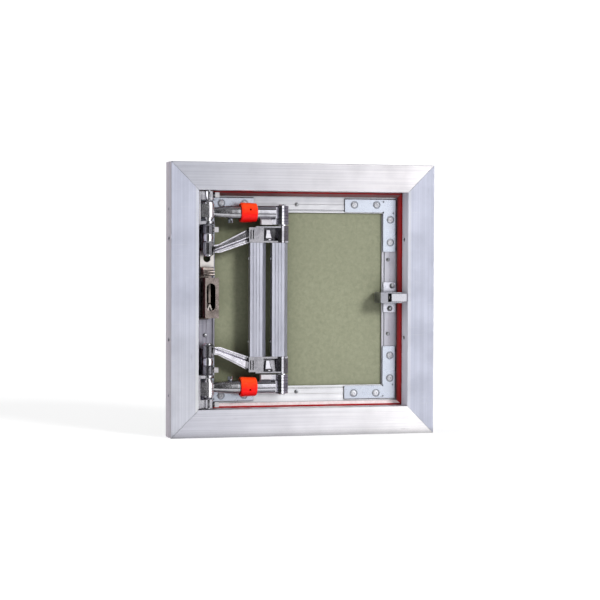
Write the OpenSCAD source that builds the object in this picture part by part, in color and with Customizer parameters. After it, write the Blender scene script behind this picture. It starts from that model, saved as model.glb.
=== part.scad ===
/* [Frame] */
// Outer width of the frame
frame_w = 300; // [290:1:340]
// Outer height of the frame
frame_h = 300; // [290:1:340]
// Depth of the frame profile, rear face to front edge
frame_depth = 28.4; // [27:0.1:33]
// Width of the rear face of each frame rail
rail_face = 30.7; // [30:0.1:31.5]
// Wall thickness of the frame profile
frame_wall = 1.7; // [1.4:0.1:2]
// Depth of the ledge that the door closes against
ledge_depth = 21; // [20.5:0.1:21]

/* [Door] */
// Gap between the door edge and the front lip of the frame
door_gap = 2.4; // [2:0.1:3.5]
// Depth of the door's rear face from the rear face of the frame
door_depth = 25; // [25:0.1:25.5]
// Width of the door profile's rear flange
door_flange = 49.7; // [48:0.1:52]
// Thickness of the board held in the door
board_t = 12.5; // [12.5:0.5:15]
// Wall thickness of the door profile
door_wall = 1.8; // [1.5:0.1:2]

/* [Seal] */
// How far the lip of the seal stands into the opening
seal_lip = 5.1; // [4:0.1:5.2]
// Width of the gap in the seal where the catch bolt passes
seal_notch = 9.4; // [9.2:0.1:12]

/* [Hinge] */
// Distance of the frame and door axes from the frame's inner wall
axis_in = 12.3; // [12.1:0.1:12.6]
// Depth of the hinge axes from the rear face of the frame
axis_depth = 9.5; // [9.2:0.1:9.8]
// Axis to axis length of the arms and of the bow
link = 83.2; // [81:0.1:88]
// Height of each arm above or below the middle of the frame
arm_off = 95.5; // [94.5:0.1:96.5]
// Diameter of the hinge pins
pin_d = 5; // [4:0.1:5.4]
// Radial running clearance of the hinge pins
pin_gap = 0.05; // [0.02:0.01:0.09]
// Diameter of the release collar
collar_d = 21.8; // [21:0.1:22.2]
// Length of the release collar
collar_len = 18; // [17.6:0.2:19]
// Diameter of the arm barrel
barrel_d = 15.2; // [14.6:0.1:15.4]
// Length of the two bow tubes
tube_len = 125; // [110:1:150]
// Width of one bow tube
tube_w = 18.5; // [17:0.1:18.8]
// Depth of one bow tube
tube_d = 10; // [9:0.1:11]

/* [Latch and catch] */
// Width of the touch latch body
latch_w = 15.1; // [14.7:0.1:15.5]
// Height of the touch latch body
latch_h = 44; // [42:1:46]
// Width of the catch housing
catch_w = 12; // [11.5:0.1:12.5]
// Width of the catch bolt
bolt_w = 8.6; // [8:0.1:8.8]

/* [Hidden] */
$fn = 64;

alu = [0.80, 0.81, 0.85];
chrome = [0.72, 0.72, 0.75];
zinc = [0.82, 0.84, 0.87];
nickel = [0.60, 0.56, 0.54];
rubber = [0.55, 0.05, 0.06];
orange = [1.0, 0.25, 0.02];

hx = frame_w / 2;
zc = frame_h / 2;
open_x = hx - rail_face;            // half width of the clear opening
ax = -open_x + axis_in;             // frame axis and door axis, closed
bx = ax + link;                     // elbow axis, closed
ay = axis_depth;
pr = pin_d / 2;
door_hx = hx - frame_wall + 0.1 - door_gap;
door_hz = zc - frame_wall + 0.1 - door_gap;
board_y0 = door_depth + 2;
door_front = board_y0 + board_t;
ring_x = door_hx - door_flange;     // half width of the opening in the door ring
plate_t = 1.5;                      // corner plates and latch plates
tube_y = 3;                         // depth of the tubes' rear face
tube_ox = ax + 45.5;                // outer tube, left side
tube_ix = ax + 70.3;                // inner tube, left side

// The model stands with its origin under the middle of the frame profile.
module place() translate([0, -frame_depth / 2, 0]) children();
// The lower half of the mechanism mirrors the upper half.
module lower() translate([0, 0, 2 * zc]) mirror([0, 0, 1]) children();
module both() { children(); lower() children(); }
module box3(a, b) translate(a) cube([b[0] - a[0], b[1] - a[1], b[2] - a[2]]);
module cyl_x(r, x0, x1, y, z, r2 = -1) translate([x0, y, z]) rotate([0, 90, 0]) cylinder(r1 = r, r2 = r2 < 0 ? r : r2, h = x1 - x0);
module cyl_y(r, y0, y1, x, z, r2 = -1) translate([x, y0, z]) rotate([-90, 0, 0]) cylinder(r1 = r, r2 = r2 < 0 ? r : r2, h = y1 - y0);
module cyl_z(r, z0, z1, x, y, r2 = -1) translate([x, y, z0]) cylinder(r1 = r, r2 = r2 < 0 ? r : r2, h = z1 - z0);
// A knuckle with shallow flutes, on a vertical axis.
module fluted(r, z0, z1, x, y, n = 8) difference() {
  union() {
    cyl_z(r, z0, z1, x, y);
    for (z = [z0 + 0.05, z1 - 1.25]) { cyl_z(r - 0.02, z, z + 0.81, x, y, r + 0.42); cyl_z(r + 0.42, z + 0.8, z + 1.2, x, y, r - 0.02); }
  }
  for (k = [0 : n - 1]) rotate_about(x, y, 7 + k * 360 / n) cyl_z(0.95, z0 + 1.3, z1 - 1.3, x + r + 0.3, y, $fn = 20);
}
module rotate_about(x, y, a) translate([x, y, 0]) rotate([0, 0, a]) translate([-x, -y, 0]) children();
// A helical wire along +X, with ground flat look given by its first and last turn.
function coil_pt(r, len, turns, t) = [len * t, r * cos(360 * turns * t), r * sin(360 * turns * t)];
module coil(r, wire, len, turns, x0, y, z) {
  n = ceil(turns * 14); m = 6;
  pts = [for (i = [0 : n]) let (c = coil_pt(r, len - 2 * wire, turns, i / n), a = 360 * turns * i / n)
    for (k = [0 : m - 1]) let (q = 360 * k / m)
      [c[0] + wire + wire * sin(q), c[1] + wire * cos(q) * cos(a), c[2] + wire * cos(q) * sin(a)]];
  faces = concat(
    [[for (k = [0 : m - 1]) k]],
    [[for (k = [m - 1 : -1 : 0]) n * m + k]],
    [for (i = [0 : n - 1]) for (k = [0 : m - 1]) [i * m + k, (i + 1) * m + k, (i + 1) * m + (k + 1) % m]],
    [for (i = [0 : n - 1]) for (k = [0 : m - 1]) [i * m + k, (i + 1) * m + (k + 1) % m, i * m + (k + 1) % m]]);
  translate([x0, y, z]) polyhedron(pts, faces, convexity = 8);
}

// ---------------------------------------------------------------- frame
// Section of the frame profile: [depth from the rear face, distance inward from the outer face].
fw = frame_wall;
module frame_section() difference() {
  polygon([[0.5, 0], [2.5, 0], [3.1, 0.6], [11, 0.6], [11.6, 0], [frame_depth, 0], [frame_depth, fw - 0.1],
    [ledge_depth, fw - 0.1], [ledge_depth, rail_face - 4.5], [ledge_depth - 1, rail_face - 4.5],
    [ledge_depth - 1, rail_face - 5.2], [ledge_depth - 2.4, rail_face - 5.2], [ledge_depth - 2.4, rail_face - 1.8],
    [ledge_depth - 1, rail_face - 1.8], [ledge_depth - 1, rail_face - 2.5], [ledge_depth, rail_face - 2.5],
    [ledge_depth, rail_face - 0.4], [ledge_depth - 0.4, rail_face], [0.3, rail_face], [0, rail_face - 0.3], [0, 0.5]]);
  polygon([[fw, fw + 0.6], [ledge_depth - fw, fw + 0.6], [ledge_depth - fw, rail_face - 7], [fw, rail_face - 7]]);
  polygon([[fw, rail_face - 5.6], [ledge_depth - 4, rail_face - 5.6], [ledge_depth - 4, rail_face - fw], [fw, rail_face - fw]]);
}
// One mitred rail along X, its outer face on z = 0.
module frame_rail(len) intersection() {
  rotate([90, 0, 90]) linear_extrude(height = len, center = true) frame_section();
  translate([0, frame_depth + 1, 0]) rotate([90, 0, 0]) linear_extrude(height = frame_depth + 2)
    polygon([[-len / 2 + 0.03, 0], [len / 2 - 0.03, 0], [len / 2 - rail_face - 0.03, rail_face], [-len / 2 + rail_face + 0.03, rail_face]]);
}
module frame_side() {
  // fixing holes through the side rails, with their wall fixings at mid depth
  translate([-hx, 0, zc]) rotate([0, 90, 0]) frame_rail(frame_h);
}
module side_holes() {
  for (z = [-43, 67]) cyl_x(2.3, -hx - 1, -open_x + 1, 13.4, zc + z, $fn = 32);
  for (z = [-104, 99]) cyl_x(1.9, -hx - 1, -hx + 5, 13.4, zc + z, $fn = 32);
}
// pilot holes in the inner wall of the hinge side rail
module pilot_holes() {
  for (s = [-1, 1]) for (z = [88.5, 104]) cyl_x(2.08, -open_x - fw - 1, -open_x + 1, 6.4, zc + s * z, $fn = 32);
  for (z = [lz0 - 5, lz1 + 5]) cyl_x(1.58, -open_x - fw - 1, -open_x + 1, 13, z, $fn = 28);
}
module frame_rail_bottom() { color(alu) place() frame_rail(frame_w); }
module frame_rail_top() { color(alu) place() translate([0, 0, frame_h]) rotate([0, 180, 0]) frame_rail(frame_w); }
module frame_rail_left() { color(alu) place() difference() { frame_side(); side_holes(); pilot_holes(); } }
module frame_rail_right() { color(alu) place() mirror([1, 0, 0]) difference() { frame_side(); side_holes(); } }

module corner_key() {
  k = 0.08;
  translate([0, fw + k, 0]) rotate([-90, 0, 0]) mirror([0, 1, 0]) linear_extrude(height = ledge_depth - 2 * fw - 2 * k)
    difference() {
      polygon([[fw + 0.6 + k, fw + 0.6 + k], [40, fw + 0.6 + k], [41, fw + 2], [41, rail_face - 8.4], [40, rail_face - 7 - k],
        [rail_face - 7 - k, rail_face - 7 - k], [rail_face - 7 - k, 40], [rail_face - 8.4, 41], [fw + 2, 41], [fw + 0.6 + k, 40]]);
      translate([31, 13]) circle(r = 5);
      translate([13, 31]) circle(r = 5);
      translate([13, 13]) circle(r = 5);
    }
}
module frame_corner_keys() { color("silver") place() both()
  for (s = [0, 1]) mirror([s, 0, 0]) translate([-hx, 0, 0]) corner_key(); }

// Seal: a foot in the ledge groove and a lip standing into the opening.
module seal_section() polygon([[ledge_depth - 2.3, rail_face - 5.0], [ledge_depth - 1.1, rail_face - 5.0], [ledge_depth - 1.1, rail_face - 4.3],
  [ledge_depth + 0.05, rail_face - 4.3], [ledge_depth + 0.05, rail_face - 6], [ledge_depth + 3.3, rail_face - 5.2], [ledge_depth + 3.5, rail_face - 3.4],
  [ledge_depth + 3.5, rail_face + seal_lip - 0.3], [ledge_depth + 3.1, rail_face + seal_lip], [ledge_depth + 2.7, rail_face + seal_lip - 0.1],
  [ledge_depth + 0.5, rail_face + seal_lip - 2.8], [ledge_depth + 0.2, rail_face + seal_lip - 3.3], [ledge_depth + 0.05, rail_face - 2.7], [ledge_depth - 1.1, rail_face - 2.7], [ledge_depth - 1.1, rail_face - 2.0],
  [ledge_depth - 2.3, rail_face - 2.0]]);
module seal_run(len) intersection() {
  rotate([90, 0, 90]) linear_extrude(height = len, center = true) seal_section();
  translate([0, frame_depth + 1, 0]) rotate([90, 0, 0]) linear_extrude(height = frame_depth + 2)
    polygon([[-len / 2, 0], [len / 2, 0], [len / 2 - 60, 60], [-len / 2 + 60, 60]]);
}
module door_seal() { color(rubber) place() difference() {
  union() {
    seal_run(frame_w);
    lower() seal_run(frame_w);
    for (s = [0, 1]) mirror([s, 0, 0]) translate([-hx, 0, zc]) rotate([0, 90, 0]) seal_run(frame_h);
  }
  box3([open_x - 8, ledge_depth - 3, zc + 2 - seal_notch / 2], [open_x + 3, ledge_depth + 5, zc + 2 + seal_notch / 2]);
} }

// Frame hinge bracket: wall plate, upper barrel and lower lug around the frame axis.
module frame_bracket() difference() {
  union() {
    box3([-open_x + 0.05, 3, zc + 82], [-open_x + 2.6, 18.5, zc + 118]);
    box3([-open_x + 2, ay - 4.6, zc + 109], [ax, ay + 4.6, zc + 118]);
    cyl_z(6.4, zc + 108.6, zc + 118, ax, ay);
    box3([-open_x + 2, ay - 5.2, zc + 82.4], [ax, ay + 5.2, zc + 85.6]);
    cyl_z(6.4, zc + 82.4, zc + 85.6, ax, ay);
    // two raised facets on the upper barrel
    for (x = [ax - 3.9, ax + 0.6]) translate([0, 0, zc + 108.6]) linear_extrude(height = 9.4)
      polygon([[x, ay - 4], [x, ay - 7], [x + 2.9, ay - 5.9], [x + 2.9, ay - 4]]);
  }
  cyl_z(pr + 0.02, zc + 80, zc + 121, ax, ay);
  cyl_x(1.7, ax, ax + 9, ay - 2, zc + 114.2, $fn = 24);
  for (z = [88.5, 104]) {
    cyl_x(2.1, -open_x - 1, -open_x + 4, 6.4, zc + z, $fn = 32);
    cyl_x(2.1, -open_x + 0.9, -open_x + 2.7, 6.4, zc + z, 3.5, $fn = 32);
  }
}
module frame_bracket_upper() { color(chrome) place() frame_bracket(); }
module frame_bracket_lower() { color(chrome) place() lower() frame_bracket(); }
module csk_screw_x(x0, y, z, r, len) difference() {
  union() {
    cyl_x(r - 0.05, x0 - len, x0, y, z, $fn = 32);
    cyl_x(r - 0.05, x0 - 1.75, x0, y, z, r + 1.3, $fn = 32);
  }
  for (q = [0, 90]) translate([x0, y, z]) rotate([q, 0, 0]) cube([1.6, 3.4, 0.7], center = true);
}
module frame_bracket_screws() { color("dimgray") place() both()
  for (z = [88.5, 104]) csk_screw_x(-open_x + 2.6, 6.4, zc + z, 2.1, 7); }
module frame_pivot_pins() { color(chrome) place() both() union() {
  cyl_z(pr, zc + 82.1, zc + 118.4, ax, ay);
  cyl_z(pr + 1.2, zc + 118.05, zc + 118.9, ax, ay);
} }
// Square headed clamp screw that locks a pin in its barrel.
module clamp_screw(z, x1) difference() {
  union() {
    cyl_x(1.65, ax + pr - 0.1, x1, ay - 2, z, $fn = 24);
    box3([x1, ay - 4.8, z - 2.8], [x1 + 4.8, ay + 0.8, z + 2.8]);
  }
  cyl_x(1.3, x1 + 3.4, x1 + 5.4, ay - 2, z, $fn = 6);
  cyl_z(pr + 0.03, z - 6, z + 6, ax, ay);
}
module frame_pin_clamps() { color(zinc) place() both() clamp_screw(zc + 114.2, ax + 6.6); }

// Touch latch body: a folded box, open to the door, with two feet on the side wall.
lz0 = zc + 2 - latch_h / 2;
lz1 = zc + 2 + latch_h / 2;
lx0 = ax - 4.3;
lx1 = lx0 + latch_w;
lsx = lx0 + 5.7;                    // middle of the striker blade
slx = lsx + 0.75;                   // middle of the slot
module stadium(y0, y1, w, z0, z1, x) { 
  cyl_y(w / 2, y0, y1, x, z0 + w / 2, $fn = 40);
  cyl_y(w / 2, y0, y1, x, z1 - w / 2, $fn = 40);
  box3([x - w / 2, y0, z0 + w / 2], [x + w / 2, y1, z1 - w / 2]);
}
module latch_body() { color(nickel) place() difference() {
  union() {
    difference() {
      box3([lx0, 4, lz0], [lx1, 19.5, lz1]);
      box3([lx0 + 1.3, 5.4, lz0 + 1.3], [lx1 - 1.3, 21, lz1 - 1.3]);
      stadium(3, 7, 9.7, lz0 + 8, lz1 - 6, slx);
    }
    // back wall, slit for the blade
    difference() {
      box3([lx0 + 0.2, 18.4, lz0 + 0.2], [lx1 - 0.2, 19.5, lz1 - 0.2]);
      box3([lsx - 1.9, 17, zc - 8], [lsx + 2.2, 21, zc + 19]);
    }
    // feet bent out to the wall, with their screw ears
    for (z = [lz0 - 1.3, lz1]) box3([-open_x + 0.1, 7, z], [lx0 + 4, 19.5, z + 1.3]);
    for (s = [-1, 1]) box3([-open_x + 0.05, 7, s > 0 ? lz1 : lz0 - 8.5], [-open_x + 1.4, 19.5, s > 0 ? lz1 + 8.5 : lz0]);
    // turned lip under the slot
    intersection() {
      difference() {
        cyl_y(5.2, 2.7, 4.2, slx, lz0 + 12.85, 6.3);
        cyl_y(4.87, 2, 5, slx, lz0 + 12.85, $fn = 40);
      }
      box3([slx - 7, 2, lz0 + 4], [slx + 7, 6, lz0 + 11.6]);
    }
  }
  for (z = [lz0 - 5, lz1 + 5]) cyl_x(1.6, -open_x - 1, -open_x + 2, 13, z, $fn = 28);
  cyl_y(1.26, 4.1, 16, lsx, lz0 + 4.2, $fn = 28);
} }
module latch_screws() { color("silver") place()
  for (z = [lz0 - 5, lz1 + 5]) difference() {
    union() { cyl_x(1.55, -open_x - 5, -open_x + 1.6, 13, z, $fn = 28); cyl_x(2.9, -open_x + 1.42, -open_x + 2.8, 13, z, 2.2, $fn = 28); }
    for (q = [0, 90]) translate([-open_x + 2.8, 13, z]) rotate([q, 0, 0]) cube([1.4, 2.8, 0.6], center = true);
  } }
// Forked jaw that grips the striker blade, on a pin across the foot of the box.
module latch_jaw() { color(nickel) place() difference() {
  union() {
    cyl_y(2.2, 6.2, 14, lsx, lz0 + 4.2, $fn = 32);
    translate([lsx, 13.2, lz0 + 4.2]) rotate([90, 0, 0]) linear_extrude(height = 6.2)
      polygon([[-3.2, -0.8], [3.2, -0.8], [3.2, 2.6], [0.8, 10.9], [-0.8, 10.9], [-3.2, 2.6], [-3.2, 0.9], [-2.1, 2.4], [0, 8.6], [2.1, 2.4], [1.5, 1.2], [-3.2, 0.7]]);
  }
  cyl_y(1.25, 5, 15, lsx, lz0 + 4.2, $fn = 28);
} }
module latch_pivot_pin() { color("silver") place() cyl_y(1.2, 4.4, 15.2, lsx, lz0 + 4.2, $fn = 28); }
module latch_spring() { color("gainsboro") place() translate([lsx + 1.6, 9.6, lz0 + 4.4]) rotate([0, 0, 0]) coil(1.5, 0.3, 4.9, 4, 0.9, 0, 5.2); }

// ---------------------------------------------------------------- arms
// Each arm lies along X at height zc + arm_off when closed.
az = zc + arm_off;
cx0 = ax + 35.4;                    // left end of the release collar
cx1 = cx0 + collar_len;
br = barrel_d / 2;
joint_x = cx0 + 9.5;                // where the two arm pieces meet
module arm_root() difference() {
  union() {
    cyl_z(6.9, zc + 89.9, zc + 104.3, ax, ay);
    // lobe of the knuckle towards the wall
    intersection() {
      cyl_z(9.3, zc + 89.9, zc + 104.3, ax, ay);
      translate([ax, ay, zc + 89]) linear_extrude(height = 16) polygon([[-10, 3.4], [-10, -3.0], [-8.8, -4.0], [-1.7, -6.7], [0, -6.6], [0, 6.6], [-1.7, 6.7]]);
    }
    cyl_z(5.3, zc + 87.9, zc + 90, ax, ay);
    cyl_z(4.3, zc + 85.9, zc + 88, ax, ay);
    cyl_z(6.2, zc + 104.2, zc + 106.1, ax, ay);
    cyl_z(6.2, zc + 106, zc + 108.1, ax, ay, 4.6);
    // neck swelling into the barrel
    translate([ax, ay, az]) rotate([0, 90, 0]) rotate_extrude() polygon([[0, 3], [4.5, 3], [4.8, 6.6], [5.1, 7.4], [6.0, 12], [6.75, 18], [7.3, 25],
      [br - 0.04, 32], [br - 0.02, cx0 - ax + 0.1], [0, cx0 - ax + 0.1]]);
    cyl_x(br, cx0, joint_x, ay, az);
    cyl_x(4.9, joint_x - 0.1, joint_x + 15, ay, az);
  }
  cyl_z(pr + pin_gap, zc + 80, zc + 120, ax, ay);
  // groove for the lock balls
  translate([joint_x + 6, ay, az]) rotate([0, 90, 0]) rotate_extrude($fn = 64) translate([5.66, 0]) circle(r = 2.0, $fn = 40);
  // seat of the retaining ring
  translate([cx0 + 0.8, ay, az]) rotate([0, 90, 0]) rotate_extrude() translate([br - 0.8, 0]) square([2, 1.1]);
  cyl_z(2.1, az - br - 4, az - 3, ax + 24.9, ay, $fn = 32);
}
// Elbow lugs are cast with flats; f below 1 gives the ground of the grooves.
lug_pts = [[-6.9, -1.3], [-5.8, -5.4], [-1.8, -6.6], [0.5, -6.3], [6.9, -1.0], [6.9, 2.6], [3.6, 6.3], [-3.6, 6.3], [-6.9, 2.6]];
module elbow_lug(z0, z1, f = 1) translate([bx, ay, zc + z0]) linear_extrude(height = z1 - z0) polygon([for (p = lug_pts) p * f]);
module arm_tip() difference() {
  union() {
    cyl_x(br, joint_x + 0.1, bx - 8.7, ay, az);
    // bridge between the barrel and the lug, and web beside the pad
    box3([bx - 9.6, ay - 3.2, az - 6.2], [bx - 2, ay + 6, az + 6.2]);
    box3([bx - 12.6, ay - 1.5, zc + 82.6], [bx - 3, ay + 6.2, zc + 92]);
    // elbow lug with grooves around it
    elbow_lug(82.6, 103.2, 0.93);
    for (b = [[82.6, 85.5], [86.2, 88.7], [89.4, 92.4], [93.1, 96.1], [96.8, 99.6], [100.3, 103.2]]) elbow_lug(b[0], b[1]);
  }
  cyl_x(4.97, joint_x - 1, joint_x + 16, ay, az);
  for (q = [30, 150, 270]) translate([joint_x + 6, ay, az]) rotate([q, 0, 0]) cylinder(r = 1.98, h = 12, $fn = 32);
  cyl_z(pr + pin_gap, zc + 80, zc + 106, bx, ay);
  box3([bx - 24.9, ay - 2.1, zc + 80], [bx - 12.8, ay + 1.1, zc + 88.9]);
  box3([bx - 24.9, ay - 6.5, zc + 80], [bx - 12.8, ay + 1.1, zc + 87.3]);
  cyl_z(1.25, zc + 85, zc + 92, bx - 18.8, ay - 0.5, $fn = 24);
}
module lock_balls() for (q = [30, 150, 270])
  translate([joint_x + 6, ay, az]) rotate([q, 0, 0]) translate([0, 0, 5.65]) sphere(r = 1.9, $fn = 24);
module collar_ring() translate([cx0 + 0.85, ay, az]) rotate([0, 90, 0]) rotate_extrude() translate([br - 0.75, 0]) square([2.1, 1.0]);
module collar_spring() coil(8.4, 0.35, 7.2, 3, cx0 + 1.9, ay, az);
module release_collar() difference() {
  union() {
    translate([cx0, ay, az]) rotate([0, 90, 0]) rotate_extrude() polygon([[br + 0.1, 9.4], [9.1, 9.2], [9.1, 0], [collar_d / 2 - 1.3, 0], [collar_d / 2 - 0.2, 0.9],
      [collar_d / 2, 2.2], [collar_d / 2 - 0.1, 4], [collar_d / 2 - 0.6, collar_len - 0.9], [collar_d / 2 - 1.1, collar_len], [br + 0.1, collar_len]]);
  }
  // sight hole
  translate([cx0 + 9.9, ay, az]) rotate([90 - 17, 0, 0]) cylinder(r = 1.25, h = 14, $fn = 24);
}
// Nylon pad under the barrel that lands on the bow, with its pin.
module stop_pad() union() {
  box3([bx - 24.8, ay - 6.3, zc + 82.2], [bx - 12.9, ay + 0.9, zc + 87.2]);
  box3([bx - 24.8, ay - 2.0, zc + 87.1], [bx - 12.9, ay + 0.9, zc + 88.7]);
  cyl_z(1.2, zc + 88.6, zc + 91.5, bx - 18.8, ay - 0.5, $fn = 24);
}
module arm_stud() difference() {
  union() { cyl_z(2.05, az - 9.6, az - 3.1, ax + 24.9, ay, $fn = 32); cyl_z(2.9, az - 11.6, az - 7.75, ax + 24.9, ay, $fn = 32); }
  box3([ax + 24.2, ay - 4, az - 12], [ax + 25.8, ay + 4, az - 8.6]);
}
module arm_root_upper() { color(chrome) place() arm_root(); }
module arm_root_lower() { color(chrome) place() lower() arm_root(); }
module arm_tip_upper() { color(chrome) place() arm_tip(); }
module arm_tip_lower() { color(chrome) place() lower() arm_tip(); }
module lock_balls_upper() { color("silver") place() lock_balls(); }
module lock_balls_lower() { color("silver") place() lower() lock_balls(); }
module collar_ring_upper() { color("dimgray") place() collar_ring(); }
module collar_ring_lower() { color("dimgray") place() lower() collar_ring(); }
module collar_spring_upper() { color("gainsboro") place() collar_spring(); }
module collar_spring_lower() { color("gainsboro") place() lower() collar_spring(); }
module stop_pad_upper() { color("white") place() stop_pad(); }
module stop_pad_lower() { color("white") place() lower() stop_pad(); }
module arm_stud_upper() { color(zinc) place() arm_stud(); }
module arm_stud_lower() { color(zinc) place() lower() arm_stud(); }
module release_collar_upper() { color(orange) place() release_collar(); }
module release_collar_lower() { color(orange) place() lower() release_collar(); }

// ---------------------------------------------------------------- bow
tz0 = zc - tube_len / 2;
tz1 = zc + tube_len / 2;
module tube_outline(k) polygon([[k, k], [tube_w - 4.6 - k * 0.4, k], [tube_w - k, 4 + k * 0.4], [tube_w - k, tube_d - k], [1.4 + k * 0.4, tube_d - k], [k, tube_d - 1.4 - k * 0.4]]);
module bow_tube(x) difference() {
  translate([x, tube_y, tz0]) linear_extrude(height = tube_len) difference() {
    tube_outline(0);
    tube_outline(1.5);
    for (g = [3.2, 6.6, 10]) translate([g, -0.1]) square([0.5, 0.4]);
  }
  for (z = [tz0 + 17, tz1 - 17]) cyl_x(1.3, x - 1, x + 3, tube_y + 5.5, z, $fn = 24);
}
// Diagonal beam in the XZ plane from the door knuckle to the tube block: a ridge towards the rear,
// a sunk lower face with a rim, hollow at the front.
d0x = ax + 4.5; d1x = tube_ox + 1;
module beam(t0, t1, inset = 0, dz = 0) translate([0, t1, dz]) rotate([90, 0, 0]) linear_extrude(height = t1 - t0)
  polygon([[d0x + inset, zc + 51.4 + inset], [ax + 12.6, zc + 51.4 + inset], [d1x - inset, zc + 63.1 + inset],
    [d1x - inset, zc + 78.2 - inset], [ax + 12, zc + 60.8 - inset], [ax + 9, zc + 60 - inset], [d0x + inset, zc + 60 - inset]]);
module ridge() translate([ax + 8.7, 0, zc + 55.1]) rotate([0, -20, 0]) rotate([90, 0, 90]) translate([0, 0, -12]) linear_extrude(height = 62)
  polygon([[4, 0], [4, 0.9], [7.4, 10.5], [12, 10.5], [12, -9], [7.6, -9], [7.6, -1.9], [5.8, -1.5]]);
module bow_casting() difference() {
  union() {
    // door knuckle
    fluted(5.7, zc + 49, zc + 63.2, ax, ay);
    // beam: base plate, ridge and lower rim
    difference() { beam(8.8, 14.4); beam(11.4, 16, 1.5); }
    intersection() { ridge(); beam(3, 9, 0, -1.7); beam(3, 9); }
    difference() { beam(4.8, 9); beam(4, 10, 0, 1.3); }
    // tube block, flanges, web and elbow knuckle
    box3([tube_ox - 1.1, 3.2, zc + 62.6], [tube_ox + 15.4, 15.6, zc + 79.2]);
    box3([tube_ox + 6.5, 3.2, zc + 79], [bx, 15.6, zc + 80.5]);
    box3([tube_ox + 14, 4.6, zc + 62.6], [tube_ix + tube_w, 15.6, zc + 64.6]);
    translate([tube_ox + 14, 0, 0]) rotate([90, 0, 90]) linear_extrude(height = bx - tube_ox - 14) polygon([[9, zc + 79.3], [15.2, zc + 79.3], [15.2, zc + 64], [12, zc + 64]]);
    elbow_lug(62.6, 81.2, 0.93);
    for (b = [[62.6, 65], [65.7, 74.2], [74.9, 81.2]]) elbow_lug(b[0], b[1]);
    // spigots inside the tubes
    for (x = [tube_ox, tube_ix]) translate([x, tube_y, tz1 - 26]) linear_extrude(height = 26.5) tube_outline(1.56);
  }
  cyl_z(pr + pin_gap, zc + 45, zc + 64, ax, ay);
  cyl_z(pr + 0.02, zc + 61, zc + 82, bx, ay);
  // grooves in the face of the tube block
  for (x = [tube_ox + 0.2, tube_ox + 3]) box3([x, 2, zc + 66.3], [x + 1.3, 5.2, zc + 76.6]);
  for (x = [tube_ox, tube_ix]) cyl_x(1.3, x - 1, x + 5.2, tube_y + 5.5, tz1 - 17, $fn = 24);
}
// Conical boss in the pocket of each casting, widening downward in both.
module cone_boss(z) translate([tube_ox + 21.2, 10.2, z]) difference() {
  rotate_extrude() polygon([[0, 0], [5.6, 0], [6.3, 0.8], [6.3, 2.0], [5.5, 2.7], [4.9, 3.5], [4.4, 5.4], [3.5, 8.4], [2.7, 11.9], [0, 11.9]]);
  rotate([0, 0, 8]) translate([0, -3.9, 3]) rotate([-11.9, 0, 0]) translate([-8, -10, -0.1]) cube([16, 10, 14]);
}
module bow_casting_upper() { color(chrome) place() union() { bow_casting(); intersection() { cone_boss(zc + 64.5); box3([-hx, 2.8, 0], [hx, 12.4, frame_h]); } } }
module bow_casting_lower() { color(chrome) place() union() { lower() bow_casting(); intersection() { cone_boss(zc - 79.1); box3([-hx, 2.8, 0], [hx, 12.4, frame_h]); } } }
module bow_tube_outer() { color(alu) place() bow_tube(tube_ox); }
module bow_tube_inner() { color(alu) place() bow_tube(tube_ix); }
module tube_screws() { color("silver") place()
  for (x = [tube_ox, tube_ix]) for (z = [tz0 + 17, tz1 - 17]) difference() {
    union() { cyl_x(1.25, x - 0.1, x + 5, tube_y + 5.5, z, $fn = 24); cyl_x(1.5, x - 1.3, x - 0.02, tube_y + 5.5, z, 2.3, $fn = 28); }
    translate([x - 1.3, tube_y + 5.5, z]) cube([1.0, 0.6, 2.2], center = true);
  } }
module elbow_pins() { color(chrome) place() both() union() {
  cyl_z(pr, zc + 62.9, zc + 104.2, bx, ay);
  cyl_z(pr + 1.8, zc + 103.5, zc + 104.5, bx, ay, pr + 1.2);
} }
module elbow_washers() { color("silver") place() both() difference() {
  cyl_z(6.2, zc + 81.5, zc + 82.4, bx, ay);
  cyl_z(pr + 0.06, zc + 81, zc + 83, bx, ay);
} }

// ---------------------------------------------------------------- door
dd = door_depth;
module door_section() polygon([[dd + 0.6, 0], [door_front, 0], [door_front, door_wall], [board_y0, door_wall], [board_y0, door_flange], [dd + 0.1, door_flange],
  [dd, door_flange - 0.3], [dd, door_flange - 1.9], [dd + 0.9, door_flange - 2.1], [dd + 0.9, door_flange - 3.3], [dd, door_flange - 3.5],
  [dd, door_flange - 9], [dd + 0.35, door_flange - 9.4], [dd + 0.35, 0.3]]);
module door_rail(len) intersection() {
  rotate([90, 0, 90]) linear_extrude(height = len, center = true) door_section();
  translate([0, 60, 0]) rotate([90, 0, 0]) linear_extrude(height = 60)
    polygon([[-len / 2 + 0.03, 0], [len / 2 - 0.03, 0], [len / 2 - door_flange - 1.03, door_flange + 1], [-len / 2 + door_flange + 1.03, door_flange + 1]]);
}
rivets = [[-86.6, -44.3], [-60.5, -44.1], [-44.1, -60.7], [-44.1, -86.3]];
module for_rivets() for (sx = [-1, 1]) for (sz = [-1, 1]) for (p = rivets)
  translate([sx * (hx + p[0]), 0, zc + sz * (zc + p[1])]) children();
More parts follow.
